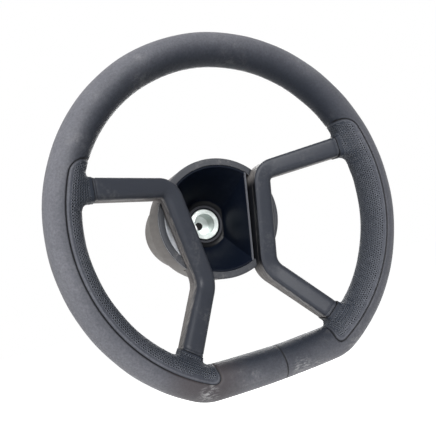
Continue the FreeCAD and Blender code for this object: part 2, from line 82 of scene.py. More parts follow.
def ramp(tree, value, low, high):
    """0 below low, 1 above high, smooth in between"""
    made = add(tree, "ShaderNodeMapRange", {"interpolation_type": "SMOOTHSTEP"}, Value=value, From_Min=low, From_Max=high)
    return made.outputs[0]


def handling_marks():
    """scuffs and settled dust that every handled surface of the wheel shows"""
    tree, given, made = new_group(
        "handling marks",
        [("Blotch size", "NodeSocketFloat", 40.0), ("Dust", "NodeSocketFloat", 0.5)],
        [("Dust mask", "NodeSocketFloat"), ("Shade", "NodeSocketFloat")],
    )
    place = add(tree, "ShaderNodeTexCoord").outputs["Object"]
    scale = maths(tree, "DIVIDE", 1000.0, given.outputs["Blotch size"])
    broad = add(tree, "ShaderNodeTexNoise", Vector=place, Scale=scale, Detail=3.0, Roughness=0.6).outputs[0]
    fine_scale = maths(tree, "MULTIPLY", scale, 9.0)
    fine = add(tree, "ShaderNodeTexNoise", Vector=place, Scale=fine_scale, Detail=4.0, Roughness=0.7).outputs[0]
    patch = ramp(tree, broad, 0.5, 0.72)
    speckle = ramp(tree, fine, 0.42, 0.7)
    both = maths(tree, "MULTIPLY", patch, speckle)
    mask = maths(tree, "MULTIPLY", both, given.outputs["Dust"])
    tree.links.new(mask, made.inputs["Dust mask"])
    tree.links.new(broad, made.inputs["Shade"])
    return tree


marks = handling_marks()


def finish_material(name, **constants):
    """material with its Principled node, constants set on the sockets"""
    made = bpy.data.materials.new(name)
    made.use_nodes = True
    shader = made.node_tree.nodes["Principled BSDF"]
    for key, value in constants.items():
        shader.inputs[key.replace("_", " ")].default_value = value
    return made, made.node_tree, shader


def marked(tree, size, dust):
    """the handling marks placed in a material"""
    made = add(tree, "ShaderNodeGroup", {"node_tree": marks})
    made.inputs["Blotch size"].default_value = size
    made.inputs["Dust"].default_value = dust
    return made


def plated(name, bright, dull, rough):
    """zinc plating: turning marks round the axis and a cloudy bloom, none down in the bores, which get painted shade:
    near black, dull and not metal
    """
    made, tree, shader = finish_material(name, Metallic=0.85, Specular_IOR_Level=0.5)
    cloud = marked(tree, 9.0, 1.0)
    place = add(tree, "ShaderNodeTexCoord").outputs["Object"]
    rings = add(tree, "ShaderNodeTexWave", {"wave_type": "RINGS", "rings_direction": "Y"},
                Vector=place, Scale=900.0, Distortion=1.5, Detail=2.0)
    colour = blend_colour(tree, cloud.outputs["Shade"], dull, bright)
    spot = add(tree, "ShaderNodeSeparateXYZ", Vector=place)
    off_axis = maths(tree, "POWER", maths(tree, "ADD", maths(tree, "POWER", spot.outputs[0], 2.0),
                     maths(tree, "POWER", spot.outputs[2], 2.0)), 0.5)
    # painted shade: inside the bore and the bolt hole the plating gives way to near black, dull and not metal
    bored = maths(tree, "MULTIPLY", maths(tree, "LESS_THAN", off_axis, 12.1 * MM),
                  maths(tree, "GREATER_THAN", spot.outputs[1], -31.95 * MM))
    thread = maths(tree, "LESS_THAN", off_axis, 4.5 * MM)
    bore_shade = maths(tree, "MAXIMUM", bored, thread)
    bore_shade_colour = blend_colour(tree, bore_shade, colour, (0.006, 0.006, 0.007, 1))
    tree.links.new(bore_shade_colour, shader.inputs["Base Color"])
    tree.links.new(maths(tree, "MULTIPLY_ADD", bore_shade, -0.85, 0.85), shader.inputs["Metallic"])
    level = maths(tree, "MULTIPLY_ADD", cloud.outputs["Shade"], 0.25, rough)
    tree.links.new(maths(tree, "MULTIPLY_ADD", bore_shade, 0.5, level), shader.inputs["Roughness"])
    bump = add(tree, "ShaderNodeBump", Strength=0.25, Distance=0.0002, Height=rings.outputs["Fac"])
    tree.links.new(bump.outputs[0], shader.inputs["Normal"])
    return made


def dress(name, material):
    """a CAD node keeps its shape and gets its own finish"""
    slots = nodes[name].data.materials
    slots.clear()
    slots.append(material)


zinc = plated("zinc plating", (0.72, 0.76, 0.745, 1), (0.4, 0.45, 0.43, 1), 0.25)
for name in ("hub_boss", "bar_screws_left", "bar_screws_right", "shroud_screws"):
    dress(name, zinc)


# Collar, hoop, spoke bars and folded bracket: the collar is a thin moulded ring
# round the boss, and the rest is mild steel under black stove paint, welded up.

def painted(name, colour, worn, rough, gloss):
    """stove paint with a light orange peel and a few rubbed places"""
    made, tree, shader = finish_material(name, Specular_IOR_Level=gloss)
    spots = marked(tree, 14.0, 0.6)
    mixed = blend_colour(tree, spots.outputs["Dust mask"], colour, worn)
    tree.links.new(mixed, shader.inputs["Base Color"])
    level = maths(tree, "MULTIPLY_ADD", spots.outputs["Shade"], 0.2, rough)
    tree.links.new(level, shader.inputs["Roughness"])
    place = add(tree, "ShaderNodeTexCoord").outputs["Object"]
    peel = add(tree, "ShaderNodeTexNoise", Vector=place, Scale=700.0, Detail=2.0)
    bump = add(tree, "ShaderNodeBump", Strength=0.12, Distance=0.0002, Height=peel.outputs[0])
    tree.links.new(bump.outputs[0], shader.inputs["Normal"])
    return made


stove_paint = painted("black stove paint", (0.02, 0.02, 0.021, 1), (0.09, 0.085, 0.08, 1), 0.45, 0.4)
collar_black = painted("black collar", (0.003, 0.0035, 0.005, 1), (0.012, 0.012, 0.014, 1), 0.5, 0.05)
collar_tree = collar_black.node_tree
collar_shader = collar_tree.nodes["Principled BSDF"]
plain_black = collar_shader.inputs["Base Color"].links[0].from_socket
collar_place = add(collar_tree, "ShaderNodeTexCoord").outputs["Object"]
collar_plan = add(collar_tree, "ShaderNodeVectorMath", {"operation": "MULTIPLY"}, i0=collar_place, i1=(1, 0, 1)).outputs[0]
collar_reach = add(collar_tree, "ShaderNodeVectorMath", {"operation": "LENGTH"}, i0=collar_plan).outputs["Value"]
# the collar's outer band, past 18.2 mm from the axis, is coloured grey; inside it the collar stays near black
grey_outer_band = maths(collar_tree, "GREATER_THAN", collar_reach, 18.2 * MM)
collar_tree.links.new(blend_colour(collar_tree, grey_outer_band, plain_black, (0.04, 0.041, 0.047, 1)), collar_shader.inputs["Base Color"])
for name in ("rim_hoop", "spoke_bar_left", "spoke_bar_right", "hub_bracket"):
    dress(name, stove_paint)
dress("boss_collar", collar_black)
for name in ("cover_screws_left", "cover_screws_right"):
    dress(name, stove_paint)


# Shroud: a deep cup moulded in dark grey plastic, screwed to the bracket from
# behind.  Its front ring frames the bowl and is notched where the spokes pass.

def moulded(name, colour, dusty, rough, dust, grain, gloss=0.15):
    """matt moulded plastic: fine spark grain, soft blotches and dust"""
    made, tree, shader = finish_material(name, Specular_IOR_Level=gloss)
    spots = marked(tree, 32.0, dust)
    mixed = blend_colour(tree, spots.outputs["Dust mask"], colour, dusty)
    tree.links.new(mixed, shader.inputs["Base Color"])
    level = maths(tree, "MULTIPLY_ADD", spots.outputs["Shade"], 0.14, rough)
    tree.links.new(level, shader.inputs["Roughness"])
    place = add(tree, "ShaderNodeTexCoord").outputs["Object"]
    spark = add(tree, "ShaderNodeTexNoise", Vector=place, Scale=1400.0, Detail=3.0, Roughness=0.6)
    bump = add(tree, "ShaderNodeBump", Strength=grain, Distance=0.0003, Height=spark.outputs[0])
    tree.links.new(bump.outputs[0], shader.inputs["Normal"])
    return made


def smoothed_copy(name, material, edge_angle=35.0):
    """the node's solid again with its doubles merged and its curves shaded smooth"""
    mesh = nodes[name].data.copy()
    made = bpy.data.objects.new(name + "_skin", mesh)
    bpy.context.scene.collection.objects.link(made)
    weld = made.modifiers.new("weld", "WELD")
    weld.merge_threshold = 0.00001
    plain = bpy.data.meshes.new_from_object(made.evaluated_get(bpy.context.evaluated_depsgraph_get()))
    made.modifiers.remove(weld)
    made.data = plain
    plain.materials.clear()
    plain.materials.append(material)
    plain.shade_smooth()
    plain.set_sharp_from_angle(angle=math.radians(edge_angle))
    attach(made, "root")
    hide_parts(name)
    return made


shroud_grey = moulded("shroud grey", (0.044, 0.046, 0.052, 1), (0.14, 0.136, 0.136, 1), 0.45, 0.6, 0.25)
shroud_tree = shroud_grey.node_tree
shroud_shader = shroud_tree.nodes["Principled BSDF"]
front_grey = shroud_shader.inputs["Base Color"].links[0].from_socket
depth = add(shroud_tree, "ShaderNodeSeparateXYZ", Vector=add(shroud_tree, "ShaderNodeTexCoord").outputs["Object"]).outputs[1]
wall = ramp(shroud_tree, depth, -0.1, -0.0955)
streaks = add(shroud_tree, "ShaderNodeTexNoise", Vector=add(shroud_tree, "ShaderNodeMapping", {}, 
              Vector=shroud_tree.nodes["Texture Coordinate"].outputs["Object"], Scale=(60, 14, 60)).outputs[0], Scale=4.0, Detail=4.0)
# painted light: the ledge at the bottom of the notches is coloured pale and streaked, so that it looks lit where the
# spokes shade it
ledge = maths(shroud_tree, "COMPARE", depth, -99.6 * MM, 0.25 * MM)
painted_light_ledge = blend_colour(shroud_tree, streaks.outputs[0], (0.2, 0.21, 0.225, 1), (0.6, 0.62, 0.66, 1))
front_grey = blend_colour(shroud_tree, ledge, front_grey, painted_light_ledge)
# the drum's wall behind the ring is brown with dusty streaks, and paler than the front ring as painted light from below
dust_and_bounce_wall = blend_colour(shroud_tree, streaks.outputs[0], (0.098, 0.089, 0.082, 1), (0.17, 0.158, 0.15, 1))
shroud_tree.links.new(blend_colour(shroud_tree, wall, front_grey, dust_and_bounce_wall), shroud_shader.inputs["Base Color"])
shroud = smoothed_copy("hub_shroud", shroud_grey)


# Bowl: one thin moulding in black plastic with a slight shine, dropped in from
# the front.  Creases run from the mouth's corners to the floor round the boss.

bowl_black = moulded("bowl black", (0.003, 0.0047, 0.0095, 1), (0.017, 0.021, 0.029, 1), 0.26, 0.3, 0.08, 0.1)
bowl_tree = bowl_black.node_tree
bowl_shader = bowl_tree.nodes["Principled BSDF"]
clean_black = bowl_shader.inputs["Base Color"].links[0].from_socket
bowl_depth = add(bowl_tree, "ShaderNodeSeparateXYZ", Vector=add(bowl_tree, "ShaderNodeTexCoord").outputs["Object"]).outputs[1]
bowl_spot = add(bowl_tree, "ShaderNodeSeparateXYZ", Vector=bowl_tree.nodes["Texture Coordinate"].outputs["Object"])
beside = maths(bowl_tree, "MULTIPLY", maths(bowl_tree, "ABSOLUTE", bowl_spot.outputs[0]), 0.987)
beside = maths(bowl_tree, "MULTIPLY_ADD", bowl_spot.outputs[2], -0.161, beside)
# painted highlight: the flat lip beside each bar is coloured grey near the mouth, standing for the light its edge
# catches
flat_lip = maths(bowl_tree, "GREATER_THAN", beside, 30.7 * MM)
painted_lip_highlight = maths(bowl_tree, "MULTIPLY", flat_lip, maths(bowl_tree, "LESS_THAN", bowl_depth, -98.6 * MM))
# painted shade: the bowl's floor, deep down the well, is made blacker than its walls
shaded_floor = maths(bowl_tree, "GREATER_THAN", bowl_depth, -51.8 * MM)
clean_black = blend_colour(bowl_tree, shaded_floor, clean_black, (0.0008, 0.0011, 0.002, 1))
bowl_tree.links.new(blend_colour(bowl_tree, painted_lip_highlight, clean_black, (0.075, 0.078, 0.088, 1)), bowl_shader.inputs["Base Color"])
bowl = smoothed_copy("hub_bowl", bowl_black, 20.0)


# Padded rim: foam on a steel hoop under a long strip of smooth leather, glued and
# sewn.  The strip is butted at the flat bottom, and its edges run down into the
# grip seams, where they meet the panels.

RIM_Y = -143.0
RIM_RADIUS = 159.0
HALF_RADIAL, HALF_AXIAL = 16.0, 18.6
FLAT_DROP, FLAT_BOW, CORNER = 145.2, 1085.0, 34.0
GRIP_RADIUS, GRIP_TOP, GRIP_SIDE, GRIP_CORNER = 157.4, 68.3, 59.5, 10.0
BUTT_X = 3.2


def rim_runs():
    """plan centre, radius, start angle and length of each arc of the rim's right half"""
    flat_centre = FLAT_BOW - FLAT_DROP
    near, far = RIM_RADIUS - CORNER, FLAT_BOW - CORNER
    z = (near ** 2 - far ** 2 + flat_centre ** 2) / (2 * flat_centre)
    x = math.sqrt(near ** 2 - z ** 2)
    first, second = math.atan2(x, z), math.atan2(x, z - flat_centre)
    return [
        ((0, 0), RIM_RADIUS, 0.0, RIM_RADIUS * first),
        ((x, z), CORNER, first, CORNER * (second - first)),
        ((0, flat_centre), FLAT_BOW, second, FLAT_BOW * (math.pi - second)),
    ]


RUNS = rim_runs()
HALF_LENGTH = sum(run[3] for run in RUNS)


def rim_line(distance):
    """middle line and outward direction in plan, clockwise from the top"""
    side = 1.0 if distance >= 0 else -1.0
    left = abs(distance)
    for centre, radius, start, length in RUNS:
        if left <= length or centre == RUNS[-1][0]:
            turn = start + left / radius
            out = np.array([math.sin(turn), math.cos(turn)])
            middle = np.array(centre) + radius * out
            return middle * (side, 1), out * (side, 1)
        left -= length


def grip_distance(x, z):
    """distance outside the grip panel's seam line, in plan"""
    outer = np.hypot(x, z) - GRIP_RADIUS + GRIP_CORNER
    ends = np.maximum(z - GRIP_TOP, GRIP_SIDE - np.abs(x)) + GRIP_CORNER
    corner = np.hypot(np.maximum(outer, 0), np.maximum(ends, 0))
    return np.where((outer > 0) | (ends > 0), corner, np.maximum(outer, ends)) - GRIP_CORNER


def rim_stations():
    """distances along the rim, close together where seams cross it"""
    half = [0.0]
    while half[-1] < HALF_LENGTH:
        x, z = rim_line(half[-1])[0]
        near_end = 50 < z < 76 or (z < -100 and 50 < x < 78)
        near_butt = z < -100 and x < 2 * BUTT_X + 1
        half.append(half[-1] + (0.75 if near_end or near_butt else 2.2))
    half = np.array(half[:-1])
    half *= HALF_LENGTH / (half[-1] + 2.2 if half[-1] < HALF_LENGTH - 2.2 else HALF_LENGTH)
    return np.concatenate([[-HALF_LENGTH], -half[:0:-1], half, [HALF_LENGTH]])


def rim_turns():
    """angles round the section from the outer side, close together at the crown seams"""
    turns = [0.0]
    while turns[-1] < math.pi:
        inset = HALF_RADIAL * math.cos(turns[-1]) - (GRIP_RADIUS - RIM_RADIUS)
        pitch = 0.5 if abs(inset) < 3.2 else (1.15 if inset < 0 else 2.4)
        turns.append(turns[-1] + pitch / math.hypot(HALF_RADIAL * math.sin(turns[-1]), HALF_AXIAL * math.cos(turns[-1])))
    turns = np.array(turns[:-1]) * (math.pi / turns[-1])
    return np.concatenate([turns, [math.pi], 2 * math.pi - turns[:0:-1]])


STATIONS, TURNS = rim_stations(), rim_turns()
lines = [rim_line(d) for d in STATIONS]
MIDDLES = np.array([line[0] for line in lines])
OUTS = np.array([line[1] for line in lines])


def rim_surface(middles, outs, turns):
    """points and normals of the rim's skin for every station and turn"""
    cos, sin = np.cos(turns), np.sin(turns)
    flat = middles[:, None, :] + outs[:, None, :] * (HALF_RADIAL * cos)[None, :, None]
    y = np.broadcast_to(RIM_Y + HALF_AXIAL * sin, flat.shape[:2])
    points = np.stack([flat[..., 0], y, flat[..., 1]], axis=-1)
    radial = cos / HALF_RADIAL
    axial = sin / HALF_AXIAL
    size = np.hypot(radial, axial)
    normals = np.stack([
        outs[:, None, 0] * (radial / size)[None, :],
        np.broadcast_to(axial / size, flat.shape[:2]),
        outs[:, None, 1] * (radial / size)[None, :],
    ], axis=-1)
    return points, normals


def hand_made(points):
    """slow swelling of the foam under the leather, in mm"""
    x, y, z = points[..., 0] / 23.0, points[..., 1] / 17.0, points[..., 2] / 23.0
    return 0.10 * np.sin(x * 1.7 + 2 * np.sin(z)) * np.cos(z * 1.3 + y) + 0.06 * np.sin(3.1 * z - 2.3 * x + y) - 0.16


POINTS, NORMALS = rim_surface(MIDDLES, OUTS, TURNS)
OUTSIDE = grip_distance(POINTS[..., 0], POINTS[..., 2])


def valley(distance, depth, width):
    """how far leather dips at a distance from a seam's middle"""
    return depth * np.exp(-np.maximum(distance, 0) ** 2 / (2 * width ** 2))


def build(name, points, faces, material, smooth=True):
    """object from points in millimetres and faces, riding on the wheel"""
    mesh = bpy.data.meshes.new(name)
    mesh.from_pydata((np.asarray(points) * MM).tolist(), [], faces)
    mesh.validate()
    mesh.materials.append(material)
    if smooth:
        mesh.shade_smooth()
    made = bpy.data.objects.new(name, mesh)
    bpy.context.scene.collection.objects.link(made)
    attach(made, "root")
    return made


def used_only(points, faces, seam):
    """points and their seam shade without those that no face uses, and the faces renumbered"""
    used = sorted({index for face in faces for index in face})
    place = {old: new for new, old in enumerate(used)}
    return np.asarray(points)[used], [tuple(place[index] for index in face) for face in faces], seam[used]


def shade_seams(piece, seam):
    """dark thread and painted shade in the seams, a painted highlight along their rolled edges, for the leather's
    colour
    """
    piece.data.attributes.new("seam", "FLOAT", "POINT").data.foreach_set("value", seam.astype(np.float32))


def grid_faces(keep):
    """quads of the closed rim grid whose mask is true"""
    rows, columns = OUTSIDE.shape
    faces = []
    for i in range(rows - 1):
        following = (i + 1) % (rows - 1)
        for j in np.nonzero(keep[i])[0]:
            k = (j + 1) % columns
            faces.append((i * columns + j, following * columns + j, following * columns + k, i * columns + k))
    return faces


def quad_mean(values):
    """value in the middle of each quad"""
    around = np.roll(values, -1, axis=1)
    low = (values + around) / 2
    return (low[:-1] + low[1:]) / 2


smooth_height = hand_made(POINTS) * np.clip(OUTSIDE / 6, 0, 1) - valley(OUTSIDE, 0.95, 0.55)
smooth_height -= np.where(OUTSIDE < 0, np.clip(-OUTSIDE, 0, 2) * 0.35, 0)
on_flat = POINTS[..., 2] < -100
smooth_height -= np.where(on_flat, valley(np.abs(POINTS[..., 0] - BUTT_X), 0.5, 0.45), 0)
SMOOTH_POINTS = POINTS + NORMALS * smooth_height[..., None]
keep_smooth = quad_mean(OUTSIDE) > -1.6


def faded_and_lit_side():
    """how far a spot lies towards the rim's outer side, which is paler: faded by sun and dust, and lightened by painted
    sheen
    """
    tree, given, made = new_group("faded and lit side", [], [("Outer", "NodeSocketFloat")])
    place = add(tree, "ShaderNodeTexCoord").outputs["Object"]
    plan = add(tree, "ShaderNodeVectorMath", {"operation": "MULTIPLY"}, i0=place, i1=(1, 0, 1)).outputs[0]
    flat_centre = (0, 0, (FLAT_BOW - FLAT_DROP) * MM)
    reaches = []
    for centre, radius in (((0, 0, 0), RIM_RADIUS), (flat_centre, FLAT_BOW)):
        reach = add(tree, "ShaderNodeVectorMath", {"operation": "DISTANCE"}, i0=plan, i1=centre).outputs["Value"]
        reaches.append(maths(tree, "SUBTRACT", reach, radius * MM))
    outward = maths(tree, "MAXIMUM", *reaches)
    tree.links.new(maths(tree, "DIVIDE", outward, HALF_RADIAL * MM), made.inputs["Outer"])
    return tree


fade_and_sheen = faded_and_lit_side()


def leather(name, outer, inner, rough, dust, crease):
    """dyed leather: fine creased grain, paler on the outer side, partly worn by sun and hands and partly painted sheen
    """
    made, tree, shader = finish_material(name, Specular_IOR_Level=0.17)
    wear = marked(tree, 55.0, dust)
    place = add(tree, "ShaderNodeTexCoord").outputs["Object"]
    mottle = add(tree, "ShaderNodeTexNoise", Vector=place, Scale=120.0, Detail=5.0, Roughness=0.65).outputs[0]
    # the outer side's paler dye is partly wear and partly painted sheen, standing for the bright surroundings it
    # reflects
    side = add(tree, "ShaderNodeGroup", {"node_tree": fade_and_sheen}).outputs["Outer"]
    uneven = maths(tree, "MULTIPLY_ADD", wear.outputs["Shade"], 0.7, maths(tree, "MULTIPLY_ADD", mottle, 0.35, -0.52))
    share = ramp(tree, maths(tree, "ADD", side, uneven), -0.95, 1.15)
    colour = blend_colour(tree, share, inner, outer)
    dusted = blend_colour(tree, wear.outputs["Dust mask"], colour, (0.2, 0.195, 0.195, 1))
    # the seam attribute colours the leather: dark thread and painted shade down in the seams, a painted highlight along
    # their rolled edges
    seam = add(tree, "ShaderNodeAttribute", {"attribute_name": "seam"}).outputs["Fac"]
    rolled = blend_colour(tree, ramp(tree, maths(tree, "MULTIPLY", seam, -1.0), 0.0, 1.0), dusted, (0.17, 0.172, 0.185, 1))
    seam_thread_and_shade = blend_colour(tree, ramp(tree, seam, 0.05, 0.7), rolled, (0.004, 0.004, 0.005, 1))
    speck = add(tree, "ShaderNodeTexNoise", Vector=place, Scale=520.0, Detail=2.0, Roughness=0.6).outputs[0]
    lively = add(tree, "ShaderNodeVectorMath", {"operation": "SCALE"}, i0=seam_thread_and_shade, i3=maths(tree, "MULTIPLY_ADD", speck, 0.9, 0.55))
    tree.links.new(lively.outputs[0], shader.inputs["Base Color"])
    level = maths(tree, "MULTIPLY_ADD", mottle, 0.22, rough)
    tree.links.new(level, shader.inputs["Roughness"])
    cells = add(tree, "ShaderNodeTexVoronoi", {"feature": "DISTANCE_TO_EDGE"}, Vector=place, Scale=1.0 / (crease * MM))
    pores = add(tree, "ShaderNodeTexNoise", Vector=place, Scale=2200.0, Detail=2.0).outputs[0]
    edge = ramp(tree, cells.outputs[0], 0.0, 0.18)
    height = maths(tree, "MULTIPLY_ADD", pores, 0.4, edge)
    bump = add(tree, "ShaderNodeBump", Strength=0.45, Distance=0.0002, Height=height)
    tree.links.new(bump.outputs[0], shader.inputs["Normal"])
    return made


def scuffed(material, places, dark_corner, dark_corner_width):
    """grey rubbed patches where the rim has been put down, and one corner made darker, in mm"""
    tree = material.node_tree
    shader = tree.nodes["Principled BSDF"]
    dyed = shader.inputs["Base Color"].links[0].from_socket
    place = add(tree, "ShaderNodeTexCoord").outputs["Object"]
    drawn = add(tree, "ShaderNodeMapping", {}, Vector=place, Scale=(60, 60, 190)).outputs[0]
    strokes = add(tree, "ShaderNodeTexNoise", Vector=drawn, Scale=3.0, Detail=5.0, Roughness=0.7).outputs[0]
    far = add(tree, "ShaderNodeVectorMath", {"operation": "DISTANCE"}, i0=place, i1=tuple(value * MM for value in dark_corner))
    # darker towards one corner, fading out over its width
    darker_corner = ramp(tree, maths(tree, "MULTIPLY", far.outputs["Value"], -1.0), -dark_corner_width * MM, -0.3 * dark_corner_width * MM)
    dyed = blend_colour(tree, maths(tree, "MULTIPLY", darker_corner, 0.75), dyed, (0.042, 0.036, 0.038, 1))
    rubbed = 0.0
    for spot, width in places:
        centre = tuple(value * MM for value in spot)
        away = add(tree, "ShaderNodeVectorMath", {"operation": "DISTANCE"}, i0=place, i1=centre).outputs["Value"]
        near = maths(tree, "MULTIPLY_ADD", away, -1.0 / (width * MM), 1.0)
        rubbed = maths(tree, "MAXIMUM", rubbed, near)
    share = maths(tree, "MULTIPLY", ramp(tree, rubbed, 0.0, 0.7), ramp(tree, strokes, 0.46, 0.66))
    pale = blend_colour(tree, maths(tree, "MULTIPLY", share, 0.8), dyed, (0.3, 0.3, 0.3, 1))
    tree.links.new(pale, shader.inputs["Base Color"])


SCUFFS = [((-73.0, -155.0, -146.5), 13.0), ((18.5, -155.0, -153.0), 15.0), ((45.0, -152.0, -163.0), 14.0),
          ((80.0, -152.0, -148.0), 15.0), ((-83.0, -155.0, -118.0), 10.0), ((33.0, -155.0, -158.0), 12.0)]
smooth_dye = leather("smooth charcoal leather", (0.102, 0.103, 0.116, 1), (0.01, 0.0125, 0.019, 1), 0.4, 0.3, 1.1)
scuffed(smooth_dye, SCUFFS, (-75.0, -155.0, -143.0), 48.0)
# seam values for the smooth leather: painted shade down the seams and the butt, a painted highlight beside the seams
smooth_seam = np.exp(-(OUTSIDE / 0.65) ** 2) - 0.15 * np.exp(-((OUTSIDE - 1.9) / 0.7) ** 2)
smooth_seam += np.where(on_flat, np.exp(-((POINTS[..., 0] - BUTT_X) / 0.55) ** 2), 0)
points, faces, seam = used_only(SMOOTH_POINTS.reshape(-1, 3), grid_faces(keep_smooth), smooth_seam.reshape(-1))
smooth_leather = build("smooth_leather", points, faces, smooth_dye)
shade_seams(smooth_leather, seam)
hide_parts("leather_smooth")


# Grip panels: two pieces of perforated leather on the inner side of the rim.  Each
# is drawn out over a saddle of foam to the root of both its spokes, glued, and
# its edge is rolled down into the seam.

UPPER_LEG = {"bend": (49.9, 38.4), "aim": (124.2, 43.5), "length": 77.0, "bend_height": -24.1, "root_height": 3.7}
LOWER_LEG = {"bend": (33.8, -60.1), "aim": (76.0, -116.7), "length": 67.5, "bend_height": -27.7, "root_height": 1.5}
ROOT_SIDE, ROOT_DEPTH = 10.2, 19.5
SADDLE_PROUD, SADDLE_ROUND = 0.8, 5.0


def leg_direction(leg):
    """outward plan direction of a spoke's leg"""
    run = np.subtract(leg["aim"], leg["bend"])
    return run / np.hypot(*run)


def leg_reach(leg):
    """distance from the bend to the rim's middle line"""
    towards = np.dot(leg["bend"], leg_direction(leg))
    return math.sqrt(towards ** 2 + RIM_RADIUS ** 2 - np.dot(leg["bend"], leg["bend"])) - towards


def rounded_spot(a, b, half_width, half_height, radius):
    """spot on a rounded rectangle for a spot (a, b) on a square's edge"""
    p = np.array([a * half_width, b * half_height])
    limit = np.array([half_width - radius, half_height - radius])
    core = np.clip(p, -limit, limit)
    away = p - core
    size = np.hypot(*away)
    return core + away * (radius / size) if size > radius * 0.2 else p


def grip_patch(leg, mirror):
    """rows and columns of the rim's grid that a saddle takes the place of"""
    middle = np.array(leg["bend"]) + leg_direction(leg) * leg_reach(leg)
    along_rim = math.atan2(middle[0], middle[1]) * RIM_RADIUS
    spread = leg["spread"]
    lower, upper = along_rim - spread[0], along_rim + spread[1]
    if mirror:
        lower, upper = -upper, -lower
    first, last = np.searchsorted(STATIONS, [lower, upper])
    front, rear = math.pi + math.radians(leg["front_turn"]), math.pi - math.radians(leg["rear_turn"])
    bottom, top = np.searchsorted(TURNS, [rear, front])
    return first, last, bottom, top


UPPER_LEG.update(spread=(17.0, 17.0), front_turn=58.0, rear_turn=60.0)
LOWER_LEG.update(spread=(16.0, 16.0), front_turn=58.0, rear_turn=60.0)
SLEEVE_LOOPS = 20
SADDLE_FLARE, SADDLE_BLEND = 1.2, 9.0
EASED_MARGIN, EASED_LOOPS = 9.0, 17


def hermite(t, start, start_pull, end, end_pull):
    """smooth run between two loops with their pulls"""
    a = 2 * t ** 3 - 3 * t ** 2 + 1
    b = t ** 3 - 2 * t ** 2 + t
    c = -2 * t ** 3 + 3 * t ** 2
    d = t ** 3 - t ** 2
    return a * start + b * start_pull + c * end + d * end_pull


def sleeve(leg, mirror, heights):
    """loops of points from the rim's skin to the spoke's root, outside of the saddle"""
    first, last, bottom, top = grip_patch(leg, mirror)
    side = -1.0 if mirror else 1.0
    direction = leg_direction(leg) * (side, 1)
    bend = np.array(leg["bend"]) * (side, 1)
    slope = (leg["root_height"] - leg["bend_height"]) / leg["length"]
    middle_station = (first + last) // 2
    rim_travel = MIDDLES[middle_station + 1] - MIDDLES[middle_station]
    across = np.array([-direction[1], direction[0]])
    across *= 1.0 if np.dot(across, rim_travel) > 0 else -1.0
    corners = [(i, top) for i in range(first, last)] + [(last, j) for j in range(top, bottom, -1)]
    corners += [(i, bottom) for i in range(last, first, -1)] + [(first, j) for j in range(bottom, top)]
    root = bend + direction * (leg["length"] + 0.5)
    front = leg["root_height"] + SADDLE_PROUD
    half_depth = ROOT_DEPTH / 2 + SADDLE_PROUD
    start, pull, end = [], [], []
    for i, j in corners:
        a = 2 * (STATIONS[i] - STATIONS[first]) / (STATIONS[last] - STATIONS[first]) - 1
        b = 2 * (TURNS[j] - TURNS[bottom]) / (TURNS[top] - TURNS[bottom]) - 1
        spot = rounded_spot(a, b, ROOT_SIDE + SADDLE_PROUD, half_depth, SADDLE_ROUND)
        plan = root + across * spot[0]
        target = np.array([plan[0], RIM_Y - (front - half_depth + spot[1]), plan[1]])
        here = POINTS[i, j] + NORMALS[i, j] * heights[i, j]
        normal = NORMALS[i, j]
        wanted = target - here
        tangent = wanted - normal * np.dot(wanted, normal)
        start.append(here)
        pull.append(tangent / max(np.linalg.norm(tangent), 1e-6))
        end.append(target)
    start, pull, end = np.array(start), np.array(pull), np.array(end)
    inward = np.array([-direction[0], slope, -direction[1]])
    loops = [hermite(t, start, pull * 16.0, end, inward * 20.0) for t in np.linspace(0, 1, SLEEVE_LOOPS + 1)]
    centre = end.mean(axis=0)
    for step, shrink in ((0.35, 0.97), (0.5, 0.9), (-1.6, 0.86)):
        loops.append(centre + (end - centre) * shrink + inward * step)
    return corners, loops


def rim_field(points):
    """distance outside the rim's skin, about"""
    x, z = np.abs(points[:, 0]), points[:, 2]
    _, (corner, _, second_start, _), (low, _, flat_start, _) = RUNS
    on_circle = np.arctan2(x, z) <= second_start
    on_flat_run = np.arctan2(x, z - low[1]) >= flat_start
    out = np.where(on_flat_run, np.hypot(x, z - low[1]) - FLAT_BOW, np.hypot(x - corner[0], z - corner[1]) - CORNER)
    out = np.where(on_circle, np.hypot(x, z) - RIM_RADIUS, out)
    return (np.hypot(out / HALF_RADIAL, (points[:, 1] - RIM_Y) / HALF_AXIAL) - 1) * (HALF_RADIAL + HALF_AXIAL) / 2


def saddle_field(points, leg, mirror):
    """distance outside the rim and one spoke root, blended where they meet"""
    direction = leg_direction(leg)
    plan = points[:, [0, 2]] * (-1.0 if mirror else 1.0, 1) - leg["bend"]
    along = plan @ direction
    sideways = np.abs(plan @ (-direction[1], direction[0]))
    slope = (leg["root_height"] - leg["bend_height"]) / leg["length"]
    half_depth = ROOT_DEPTH / 2 + SADDLE_PROUD
    middle = leg["bend_height"] + slope * along + SADDLE_PROUD - half_depth
    spread = np.clip((along - leg["length"]) / (leg_reach(leg) - leg["length"]), 0, 1)
    over_side = sideways - (ROOT_SIDE + SADDLE_PROUD - SADDLE_ROUND) - SADDLE_FLARE * spread ** 2
    over_depth = np.abs(RIM_Y - points[:, 1] - middle) - (half_depth - SADDLE_ROUND)
    root = np.hypot(np.maximum(over_side, 0), np.maximum(over_depth, 0)) - SADDLE_ROUND
    root += np.minimum(np.maximum(over_side, over_depth), 0)
    root = np.maximum(root, along - leg_reach(leg) - 2)
    rim = rim_field(points)
    reach = SADDLE_BLEND * np.clip((along - leg["length"]) / 7, 0.1, 1)
    near = np.maximum(reach - np.abs(rim - root), 0) / reach
    return np.minimum(rim, root) - near ** 2 * reach / 4


